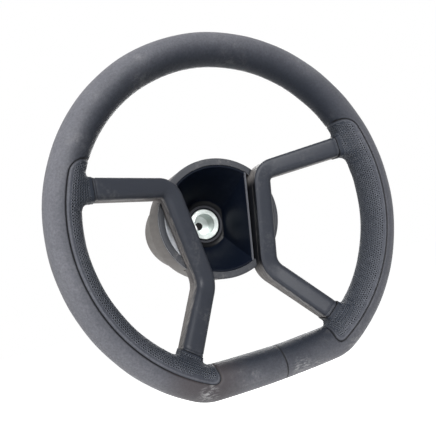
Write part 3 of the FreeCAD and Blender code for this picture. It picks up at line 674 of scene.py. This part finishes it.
def settled(points, leg, mirror, share):
    """points moved on to the blended saddle, by their share"""
    step = 0.05
    for _ in range(3):
        level = saddle_field(points, leg, mirror)
        slope = np.stack([(saddle_field(points + step * axis, leg, mirror) - level) / step for axis in np.eye(3)], axis=1)
        move = slope * (level / np.maximum((slope ** 2).sum(axis=1), 0.04))[:, None]
        points = points - np.clip(move, -2, 2) * share[:, None]
    return points


def eased(points, faces, weight, rounds=26):
    """points drawn towards the middle of their neighbours, by their weight"""
    edges = np.array([(face[k], face[k - 1]) for face in faces for k in range(len(face))])
    pairs = np.concatenate([edges, edges[:, ::-1]])
    count = np.bincount(pairs[:, 0], minlength=len(points))[:, None]
    for _ in range(rounds):
        total = np.zeros_like(points)
        np.add.at(total, pairs[:, 0], points[pairs[:, 1]])
        points = points + (total / np.maximum(count, 1) - points) * (0.5 * weight[:, None])
    return points


grip_height = hand_made(POINTS) * np.clip((-OUTSIDE - 3) / 6, 0, 1)
grip_height += 0.2 * np.exp(-((OUTSIDE + 2.1) / 0.9) ** 2)
grip_height -= 1.05 * np.exp(-np.minimum(OUTSIDE, 0) ** 2 / (2 * 0.6 ** 2))
grip_height -= np.where(OUTSIDE > 0, np.clip(OUTSIDE, 0, 2) * 0.6, 0)
# seam values for the grip panels: painted shade down the seams, a painted highlight along the rolled edges
panel_seam = np.exp(-(OUTSIDE / 0.65) ** 2) - 0.3 * np.exp(-((OUTSIDE + 1.9) / 0.7) ** 2)
keep_grip = quad_mean(OUTSIDE) < 0.75
station_middles = (MIDDLES[:-1, 0] + MIDDLES[1:, 0]) / 2


def grip_panel(name, mirror):
    """points and faces of one panel with its two sleeves, and the sleeves' loops"""
    side = -1.0 if mirror else 1.0
    keep = keep_grip & ((station_middles * side) > 0)[:, None]
    rows, columns = OUTSIDE.shape
    surface = (POINTS + NORMALS * grip_height[..., None]).reshape(-1, 3)
    points = [surface]
    weights = [np.zeros(rows * columns)]
    shares = {}
    seam = [panel_seam.reshape(-1)]
    total = rows * columns
    faces = []
    sleeves = []
    for leg in (UPPER_LEG, LOWER_LEG):
        first, last, bottom, top = grip_patch(leg, mirror)
        keep[first:last, bottom:top] = False
        corners, loops = sleeve(leg, mirror, grip_height)
        off_rows = np.maximum(STATIONS[first] - STATIONS, STATIONS - STATIONS[last])
        off_turns = np.maximum(TURNS[bottom] - TURNS, TURNS - TURNS[top]) * (HALF_RADIAL + HALF_AXIAL) / 2
        away = np.hypot(np.maximum(off_rows, 0)[:, None], np.maximum(off_turns, 0)[None, :])
        easing = np.clip(1 - away / EASED_MARGIN, 0, 1) * np.clip((-OUTSIDE - 2.6) / 3, 0, 1)
        weights[0] = np.maximum(weights[0], easing.reshape(-1))
        grid_share = np.clip(1.5 - away / EASED_MARGIN, 0, 1) * np.clip((-OUTSIDE - 2.2) / 2, 0, 1)
        shares[leg["length"]] = leg, grid_share.reshape(-1), total
        previous = [i * columns + j for i, j in corners]
        count = len(previous)
        for place, loop in enumerate(loops[1:]):
            current = list(range(total, total + count))
            points.append(loop)
            weights.append(np.full(count, np.clip((EASED_LOOPS - place) / 4, 0, 1)))
            # painted shade: the sleeve's last loops, where it meets the spoke root, are darkened like a seam
            seam.append(np.full(count, np.clip((place - SLEEVE_LOOPS + 1.5) / 1.5, 0, 1)))
            total += count
            for k in range(count):
                n = (k + 1) % count
                faces.append((previous[k], current[k], current[n], previous[n]))
            previous = current
    faces += grid_faces(keep)
    points, weight = np.concatenate(points), np.concatenate(weights)
    for _ in range(3):
        points = eased(points, faces, weight, 8)
        for leg, grid_share, start in shares.values():
            share = np.zeros(len(points))
            share[:rows * columns] = grid_share
            share[start:start + count_of_sleeve(leg, mirror)] = 1.0
            moved = share > 0
            points[moved] = settled(points[moved], leg, mirror, share[moved])
    for leg, _, start in shares.values():
        sleeves.append(points[start:start + count_of_sleeve(leg, mirror)].reshape(SLEEVE_LOOPS, -1, 3))
    points, faces, seam = used_only(points, faces, np.concatenate(seam))
    return points, faces, seam, sleeves


def count_of_sleeve(leg, mirror):
    """how many points one sleeve's loops have, down to the root"""
    first, last, bottom, top = grip_patch(leg, mirror)
    return 2 * (last - first + top - bottom) * SLEEVE_LOOPS


grip_dye = leather("perforated charcoal leather", (0.14, 0.143, 0.165, 1), (0.011, 0.014, 0.021, 1), 0.4, 0.2, 0.9)
# painted highlight: the raised lips round the holes are dyed paler than the panel, standing for the light their edges
# catch
lip_highlight_dye = leather("hole edges painted light", (0.22, 0.225, 0.25, 1), (0.075, 0.082, 0.097, 1), 0.4, 0.2, 0.9)
panels = {}
for name, mirror in (("grip_leather_left", True), ("grip_leather_right", False)):
    points, faces, seam, sleeves = grip_panel(name, mirror)
    panel = build(name, points, faces, grip_dye)
    shade_seams(panel, seam)
    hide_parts(name.replace("grip_leather", "leather_grip"), "rim_foam")
    panels[mirror] = panel, sleeves


# Perforations: rows of small punched holes all over the grip panels, except for a
# plain border along the seams and at the spoke roots.

from mathutils.bvhtree import BVHTree

HOLE_PITCH, HOLE_RADIUS, PLAIN_BORDER = 2.35, 0.72, 3.7
LIP_HEIGHT = 0.16


def hole_spots(mirror):
    """rows of spots on the rim's inner side, without the saddles' places"""
    side = -1.0 if mirror else 1.0
    pitch = HOLE_PITCH * RIM_RADIUS / (RIM_RADIUS - HALF_RADIAL)
    turns = [math.pi]
    while turns[-1] < 1.5 * math.pi + 0.2:
        reach = math.hypot(HALF_RADIAL * math.sin(turns[-1]), HALF_AXIAL * math.cos(turns[-1]))
        turns.append(turns[-1] + HOLE_PITCH * 0.87 / reach)
    turns = [2 * math.pi - turn for turn in turns[:0:-1]] + turns
    patches = [grip_patch(leg, mirror) for leg in (UPPER_LEG, LOWER_LEG)]
    spots = []
    for row, turn in enumerate(turns):
        for step in range(int(HALF_LENGTH / pitch)):
            distance = (step + 0.5 * (row % 2)) * pitch * side
            inside = [
                STATIONS[first] + 3 < distance < STATIONS[last] - 3 and TURNS[bottom] + 0.18 < turn < TURNS[top] - 0.18
                for first, last, bottom, top in patches
            ]
            if any(inside):
                continue
            middle, out = rim_line(distance)
            flat = middle + out * HALF_RADIAL * math.cos(turn)
            if grip_distance(*flat) < -PLAIN_BORDER:
                spots.append((flat[0], RIM_Y + HALF_AXIAL * math.sin(turn), flat[1]))
    return spots


def sleeve_spots(loops):
    """rows of spots round one sleeve"""
    lengths = np.concatenate([[0], np.cumsum([np.linalg.norm(b - a, axis=1).mean() for a, b in zip(loops, loops[1:])])])
    spots = []
    for row, distance in enumerate(np.arange(0, lengths[-1] - HOLE_PITCH, HOLE_PITCH * 0.87)):
        place = np.searchsorted(lengths, distance, side="right") - 1
        share = (distance - lengths[place]) / (lengths[place + 1] - lengths[place])
        ring = loops[place] * (1 - share) + loops[place + 1] * share
        steps = np.linalg.norm(np.roll(ring, -1, axis=0) - ring, axis=1)
        along = np.concatenate([[0], np.cumsum(steps)])
        closed = np.concatenate([ring, ring[:1]])
        count = round(along[-1] / HOLE_PITCH)
        for k in range(count):
            wanted = (k + 0.5 * (row % 2)) * along[-1] / count
            spots.append([np.interp(wanted, along, closed[:, axis]) for axis in range(3)])
    return spots


def maths_of_nodes(tree, value, factor):
    """a value times a factor"""
    return add(tree, "ShaderNodeMath", {"operation": "MULTIPLY"}, i0=value, i1=factor).outputs[0]


def punched(name):
    """Geometry Nodes tree that sets a small dark disc, painted shade for the hole, in a raised lip on every spot"""
    tree = bpy.data.node_groups.new(name, "GeometryNodeTree")
    face = tree.interface
    face.new_socket("Spots", in_out="INPUT", socket_type="NodeSocketGeometry")
    face.new_socket("Hole radius", in_out="INPUT", socket_type="NodeSocketFloat")
    face.new_socket("Lip height", in_out="INPUT", socket_type="NodeSocketFloat")
    face.new_socket("Hole finish", in_out="INPUT", socket_type="NodeSocketMaterial")
    face.new_socket("Lip finish", in_out="INPUT", socket_type="NodeSocketMaterial")
    face.new_socket("Holes", in_out="OUTPUT", socket_type="NodeSocketGeometry")
    given, made = tree.nodes.new("NodeGroupInput"), tree.nodes.new("NodeGroupOutput")
    radius = given.outputs["Hole radius"]
    disc = add(tree, "GeometryNodeMeshCircle", {"fill_type": "NGON"}, Vertices=7, Radius=radius).outputs["Mesh"]
    foot = maths_of_nodes(tree, radius, 1.5)
    lip = add(tree, "GeometryNodeMeshCone", {"fill_type": "NONE"}, Vertices=7, Radius_Top=radius, Radius_Bottom=foot,
              Depth=given.outputs["Lip height"]).outputs["Mesh"]
    lean = add(tree, "GeometryNodeInputNamedAttribute", {"data_type": "FLOAT_VECTOR"}, Name="lean")
    turned = add(tree, "FunctionNodeAlignRotationToVector", {"axis": "Z"}, Vector=lean.outputs[0])
    size = add(tree, "FunctionNodeRandomValue", {"data_type": "FLOAT"}, i2=0.85, i3=1.12, Seed=4)
    both = add(tree, "GeometryNodeJoinGeometry")
    for shape, finish in ((disc, "Hole finish"), (lip, "Lip finish")):
        placed = add(tree, "GeometryNodeInstanceOnPoints", Points=given.outputs["Spots"], Instance=shape,
                     Rotation=turned.outputs[0], Scale=size.outputs[1])
        real = add(tree, "GeometryNodeRealizeInstances", Geometry=placed.outputs[0])
        finished = add(tree, "GeometryNodeSetMaterial", Geometry=real.outputs[0], Material=given.outputs[finish])
        tree.links.new(finished.outputs[0], both.inputs[0])
    tree.links.new(both.outputs[0], made.inputs[0])
    return tree


def from_nodes(name, carrier, tree, values):
    """plain mesh from a Geometry Nodes tree on a carrier mesh"""
    holder = bpy.data.objects.new(name, carrier)
    bpy.context.scene.collection.objects.link(holder)
    modifier = holder.modifiers.new("nodes", "NODES")
    modifier.node_group = tree
    for socket in tree.interface.items_tree:
        if socket.name in values:
            modifier[socket.identifier] = values[socket.name]
    plain = bpy.data.meshes.new_from_object(holder.evaluated_get(bpy.context.evaluated_depsgraph_get()))
    holder.modifiers.remove(modifier)
    holder.data = plain
    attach(holder, "root")
    return holder


# painted shade: every hole is a flat near-black disc that stands for the shade down in it
hole_dark, hole_tree, hole_shader = finish_material("punched hole", Roughness=0.9, Specular_IOR_Level=0.1)
hole_mottle = add(hole_tree, "ShaderNodeTexNoise", Vector=add(hole_tree, "ShaderNodeTexCoord").outputs["Object"], Scale=300.0)
hole_colour = blend_colour(hole_tree, hole_mottle.outputs[0], (0.0008, 0.0008, 0.001, 1), (0.003, 0.003, 0.004, 1))
hole_tree.links.new(hole_colour, hole_shader.inputs["Base Color"])
punches = punched("punched rows")
for mirror, (panel, sleeves) in panels.items():
    skin = BVHTree.FromPolygons([vertex.co for vertex in panel.data.vertices], [tuple(face.vertices) for face in panel.data.polygons])
    found, taken = [], np.full((0, 3), 1e9)
    for spot in [*sleeve_spots(sleeves[0]), *sleeve_spots(sleeves[1]), *hole_spots(mirror)]:
        hit = skin.find_nearest(np.array(spot) * MM)
        room = np.linalg.norm(taken - np.array(hit[0]) / MM, axis=1).min(initial=1e9)
        if hit[3] < 1.6 * MM and room > 0.8 * HOLE_PITCH:
            found.append(hit)
            taken = np.vstack([taken, np.array(hit[0]) / MM])
    carrier = bpy.data.meshes.new("spots")
    carrier.from_pydata([location + normal * 0.03 * MM for location, normal, _, _ in found], [], [])
    lean = carrier.attributes.new("lean", "FLOAT_VECTOR", "POINT")
    lean.data.foreach_set("vector", [value for _, normal, _, _ in found for value in normal])
    name = "perforations_left" if mirror else "perforations_right"
    sizes = {"Hole radius": HOLE_RADIUS * MM, "Lip height": LIP_HEIGHT * MM, "Hole finish": hole_dark, "Lip finish": lip_highlight_dye}
    from_nodes(name, carrier, punches, sizes)


# Spoke covers: two mouldings in soft charcoal plastic that close round each bent
# steel bar, the front one on posts and the rear one screwed to them from behind.
# A bead runs round the front one's ends, next to the leather.

UPPER_BEND_RADIUS, LOWER_BEND_RADIUS = 15.5, 24.0
HUB_SIDE, WINDOW_SIDE = 8.6, 10.6
SPLIT_DEPTH, COVER_WALL = 9.0, 2.4
FACE_CROWN, FACE_TILT = 0.7, 1.6


def turned_corner(before, corner, after, radius, steps):
    """points on the arc that rounds a corner in space"""
    back, ahead = before - corner, after - corner
    back, ahead = back / np.linalg.norm(back), ahead / np.linalg.norm(ahead)
    half = math.acos(np.dot(back, ahead)) / 2
    inward = (back + ahead) / np.linalg.norm(back + ahead)
    centre = corner + inward * radius / math.sin(half)
    start = corner + back * radius / math.tan(half) - centre
    end = corner + ahead * radius / math.tan(half) - centre
    sweep = math.pi - 2 * half
    shares = np.linspace(0, 1, steps + 1)
    return [centre + (math.sin((1 - t) * sweep) * start + math.sin(t * sweep) * end) / math.sin(sweep) for t in shares]


def spoke_line():
    """points from the upper root to the lower one, with each one's share of root size and inset"""
    ends, bends = [], []
    for leg in (UPPER_LEG, LOWER_LEG):
        plan = np.array(leg["bend"]) + leg_direction(leg) * leg["length"]
        ends.append(np.array([plan[0], RIM_Y - leg["root_height"], plan[1]]))
        bends.append(np.array([leg["bend"][0], RIM_Y - leg["bend_height"], leg["bend"][1]]))
    arcs = [
        turned_corner(ends[0], bends[0], bends[1], UPPER_BEND_RADIUS, 12),
        turned_corner(bends[0], bends[1], ends[1], LOWER_BEND_RADIUS, 12),
    ]
    bead = [(0.0, 0.5), (0.25, 0.12), (0.6, 0.0), (1.5, 0.0), (1.8, 0.12), (2.1, 0.42), (2.5, 0.42), (2.8, 0.12), (3.2, 0.0)]

    def leg_points(root, start):
        run = np.linalg.norm(start - root)
        steps = bead + [(distance, 0.0) for distance in np.linspace(6, run, 14)[:-1]]
        return [(root + (start - root) * distance / run, 1 - distance / run, inset) for distance, inset in steps]

    upper = leg_points(ends[0], arcs[0][0])
    lower = leg_points(ends[1], arcs[1][-1])
    bar = [(arcs[0][-1] + (arcs[1][0] - arcs[0][-1]) * t, 0.0, 0.0) for t in np.linspace(0, 1, 14)[1:-1]]
    return upper + [(p, 0.0, 0.0) for p in arcs[0]] + bar + [(p, 0.0, 0.0) for p in arcs[1]] + lower[::-1]


def rounded_outline(corners, radii, steps=5, longest=1.6):
    """closed outline with rounded corners"""
    corners = [np.array(corner, float) for corner in corners]
    spots = []
    for index, (corner, radius) in enumerate(zip(corners, radii)):
        back, ahead = corners[index - 1] - corner, corners[(index + 1) % len(corners)] - corner
        back, ahead = back / np.linalg.norm(back), ahead / np.linalg.norm(ahead)
        centre = corner + (back + ahead) * radius
        for t in np.linspace(0, math.pi / 2, steps + 1):
            spots.append(centre - back * radius * math.sin(t) - ahead * radius * math.cos(t))
    return spots


def divided(spots, counts):
    """closed outline with its long runs divided into so many parts"""
    made = []
    for index, spot in enumerate(spots):
        following = spots[(index + 1) % len(spots)]
        parts = counts.get(index, 1)
        made += [spot + (following - spot) * k / parts for k in range(parts)]
    return np.array(made)


def front_outline(share, inset):
    """the front cover's section: how far towards the hub, and how deep"""
    hub = HUB_SIDE + (ROOT_SIDE - HUB_SIDE) * share - inset
    window = WINDOW_SIDE + (ROOT_SIDE - WINDOW_SIDE) * share - inset
    wall, deep = COVER_WALL, SPLIT_DEPTH
    corners = [(hub, deep), (hub, inset), (-window, inset), (-window, deep),
               (wall - window, deep), (wall - window, wall), (hub - wall, wall), (hub - wall, deep)]
    radii = [0.35, 3.6 - inset, 6.2 - inset, 0.35, 0.3, 1.8, 0.8, 0.3]
    spots = divided(rounded_outline(corners, radii), {5: 3, 11: 8, 17: 3})
    middle, half = (hub - window) / 2, (hub + window) / 2
    across = np.clip(np.abs(spots[:, 0] - middle) / half, 0, 1)
    facing = np.clip((4.0 - spots[:, 1]) / 4.0, 0, 1)
    outer = np.arange(len(spots)) < len(spots) - 24
    spots[:, 1] -= np.where(outer, FACE_CROWN * (1 - across ** 2) * facing, 0)
    spots[:, 1] += np.where(outer, FACE_TILT * (1 - share) * facing * (spots[:, 0] + window) / (2 * half), 0)
    return spots


def swept_cover(line, outline, mirror):
    """closed shell along the spoke with capped ends"""
    side = -1.0 if mirror else 1.0
    points, faces = [], []
    for index, (place, share, inset) in enumerate(line):
        before = line[max(index - 1, 0)][0]
        after = line[min(index + 1, len(line) - 1)][0]
        travel = (after - before)[[0, 2]]
        travel /= np.linalg.norm(travel)
        for sideways, depth in outline(share, inset):
            points.append((side * (place[0] + travel[1] * sideways), place[1] + depth, place[2] - travel[0] * sideways))
    count = len(points) // len(line)
    for k in range(len(line) - 1):
        for j in range(count):
            n = (j + 1) % count
            quad = (k * count + j, k * count + n, (k + 1) * count + n, (k + 1) * count + j)
            faces.append(quad if mirror else quad[::-1])
    last = (len(line) - 1) * count
    caps = [tuple(range(count)), tuple(range(last, last + count))[::-1]]
    faces += [cap if not mirror else cap[::-1] for cap in caps]
    return points, faces


def scratched_and_lit_sides(material):
    """the side walls are paler and finely scratched along: partly wear from everything that rubs past, partly painted
    light from below
    """
    tree = material.node_tree
    shader = tree.nodes["Principled BSDF"]
    clean = shader.inputs["Base Color"].links[0].from_socket
    place = add(tree, "ShaderNodeTexCoord")
    lean = add(tree, "ShaderNodeSeparateXYZ", Vector=place.outputs["Normal"])
    side = ramp(tree, maths(tree, "MULTIPLY", maths(tree, "ABSOLUTE", lean.outputs[1]), -1.0), -0.5, -0.15)
    drawn = add(tree, "ShaderNodeMapping", {}, Vector=place.outputs["Object"], Scale=(1.0, 5.0, 1.0)).outputs[0]
    scratches = add(tree, "ShaderNodeTexNoise", Vector=drawn, Scale=110.0, Detail=5.0, Roughness=0.7).outputs[0]
    share = maths(tree, "MULTIPLY", side, ramp(tree, scratches, 0.36, 0.62))
    # painted light, with wear: the side walls' paleness stands partly for light thrown up from below
    rubbed = blend_colour(tree, maths(tree, "MULTIPLY", share, 0.85), clean, (0.19, 0.178, 0.17, 1))
    tree.links.new(rubbed, shader.inputs["Base Color"])
    return material


def shaded_beside_bowl(material):
    """painted shade: the walls next to the bowl are coloured near black, standing for the shade down beside it"""
    tree = material.node_tree
    shader = tree.nodes["Principled BSDF"]
    dirty = shader.inputs["Base Color"].links[0].from_socket
    place = add(tree, "ShaderNodeTexCoord")
    spot = add(tree, "ShaderNodeSeparateXYZ", Vector=place.outputs["Object"])
    lean = add(tree, "ShaderNodeSeparateXYZ", Vector=place.outputs["Normal"])
    away = maths(tree, "MULTIPLY", lean.outputs[0], maths(tree, "SIGN", spot.outputs[0]))
    inward = ramp(tree, maths(tree, "MULTIPLY", away, -1.0), 0.75, 0.97)
    low = ramp(tree, spot.outputs[2], -0.066, -0.05)
    high = ramp(tree, maths(tree, "MULTIPLY", spot.outputs[2], -1.0), -0.036, -0.024)
    share = maths(tree, "MULTIPLY", inward, maths(tree, "MULTIPLY", low, high))
    tree.links.new(blend_colour(tree, share, dirty, (0.003, 0.0035, 0.005, 1)), shader.inputs["Base Color"])
    return material


spoke_charcoal = moulded("spoke charcoal", (0.0215, 0.024, 0.031, 1), (0.088, 0.088, 0.091, 1), 0.33, 0.4, 0.36)
shaded_beside_bowl(scratched_and_lit_sides(spoke_charcoal))
spoke_back = moulded("spoke back", (0.085, 0.08, 0.08, 1), (0.2, 0.182, 0.17, 1), 0.5, 0.9, 0.5)
shaded_beside_bowl(scratched_and_lit_sides(spoke_back))
line = spoke_line()
for mirror, hand in ((True, "left"), (False, "right")):
    points, faces = swept_cover(line, front_outline, mirror)
    cover = build("spoke_front_" + hand, points, faces, spoke_charcoal)
    cover.data.set_sharp_from_angle(angle=math.radians(50))
    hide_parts("front_cover_" + hand)
    rear = smoothed_copy("rear_cover_" + hand, spoke_back, 40.0)


# Floor, light and camera: a plain pale floor well under the wheel, as it is held
# by its shaft, soft light from above and the left, the camera at the photo's place.

def shown_white(tree):
    """1 for what the camera sees of the backdrop, by itself or in metal and glass"""
    path = add(tree, "ShaderNodeLightPath").outputs
    mirrored = maths(tree, "MAXIMUM", path["Is Glossy Ray"], path["Is Transmission Ray"])
    return maths(tree, "MAXIMUM", path["Is Camera Ray"], mirrored)


def pale_floor():
    """large white floor that keeps the wheel's shadow"""
    mesh = bpy.data.meshes.new("floor")
    half, low = 6.0, -0.62
    mesh.from_pydata([(-half, -half, low), (half, -half, low), (half, half, low), (-half, half, low)], [], [(0, 1, 2, 3)])
    made = bpy.data.objects.new("floor", mesh)
    bpy.context.scene.collection.objects.link(made)
    white, tree, shader = finish_material("floor white", Roughness=0.9, Specular_IOR_Level=0.0)
    shader.inputs["Base Color"].default_value = (0.9, 0.9, 0.9, 1)
    shader.inputs["Emission Color"].default_value = (1, 1, 1, 1)
    tree.links.new(maths(tree, "MULTIPLY", shown_white(tree), 0.96), shader.inputs["Emission Strength"])
    mesh.materials.append(white)


def soft_lamp(name, place, size, power):
    """square lamp turned to the wheel's middle"""
    lamp = bpy.data.lights.new(name, "AREA")
    lamp.size = size
    lamp.energy = power
    made = bpy.data.objects.new(name, lamp)
    bpy.context.scene.collection.objects.link(made)
    made.location = place
    away = made.location - nodes["hub_boss"].location
    made.rotation_euler = away.to_track_quat("Z", "Y").to_euler()


pale_floor()
soft_lamp("key", (-0.35, -1.5, 1.0), 1.0, 52.0)
soft_lamp("left", (-1.7, -0.75, 0.1), 1.0, 20.0)
soft_lamp("front", (-0.5, -1.9, 0.1), 1.2, 3.0)
soft_lamp("back", (0.9, 1.5, 0.6), 1.0, 20.0)

world = bpy.data.worlds.new("studio")
bpy.context.scene.world = world
world.use_nodes = True
sky = world.node_tree
backdrop = sky.nodes["Background"]
seen = shown_white(sky)
sky.links.new(blend_colour(sky, seen, (0.8, 0.9, 1, 1), (1, 1, 1, 1)), backdrop.inputs["Color"])
sky.links.new(maths(sky, "MULTIPLY_ADD", seen, 0.95, 0.05), backdrop.inputs["Strength"])

lens = bpy.data.cameras.new("camera")
lens.sensor_width = 36.0
lens.lens = 43.81
camera = bpy.data.objects.new("camera", lens)
bpy.context.scene.collection.objects.link(camera)
camera.location = (-0.21, -0.5949, -0.0348)
camera.rotation_mode = "QUATERNION"
camera.rotation_quaternion = (0.64943, 0.727507, -0.056959, -0.213847)
bpy.context.scene.camera = camera
bpy.context.scene.view_settings.view_transform = "Standard"
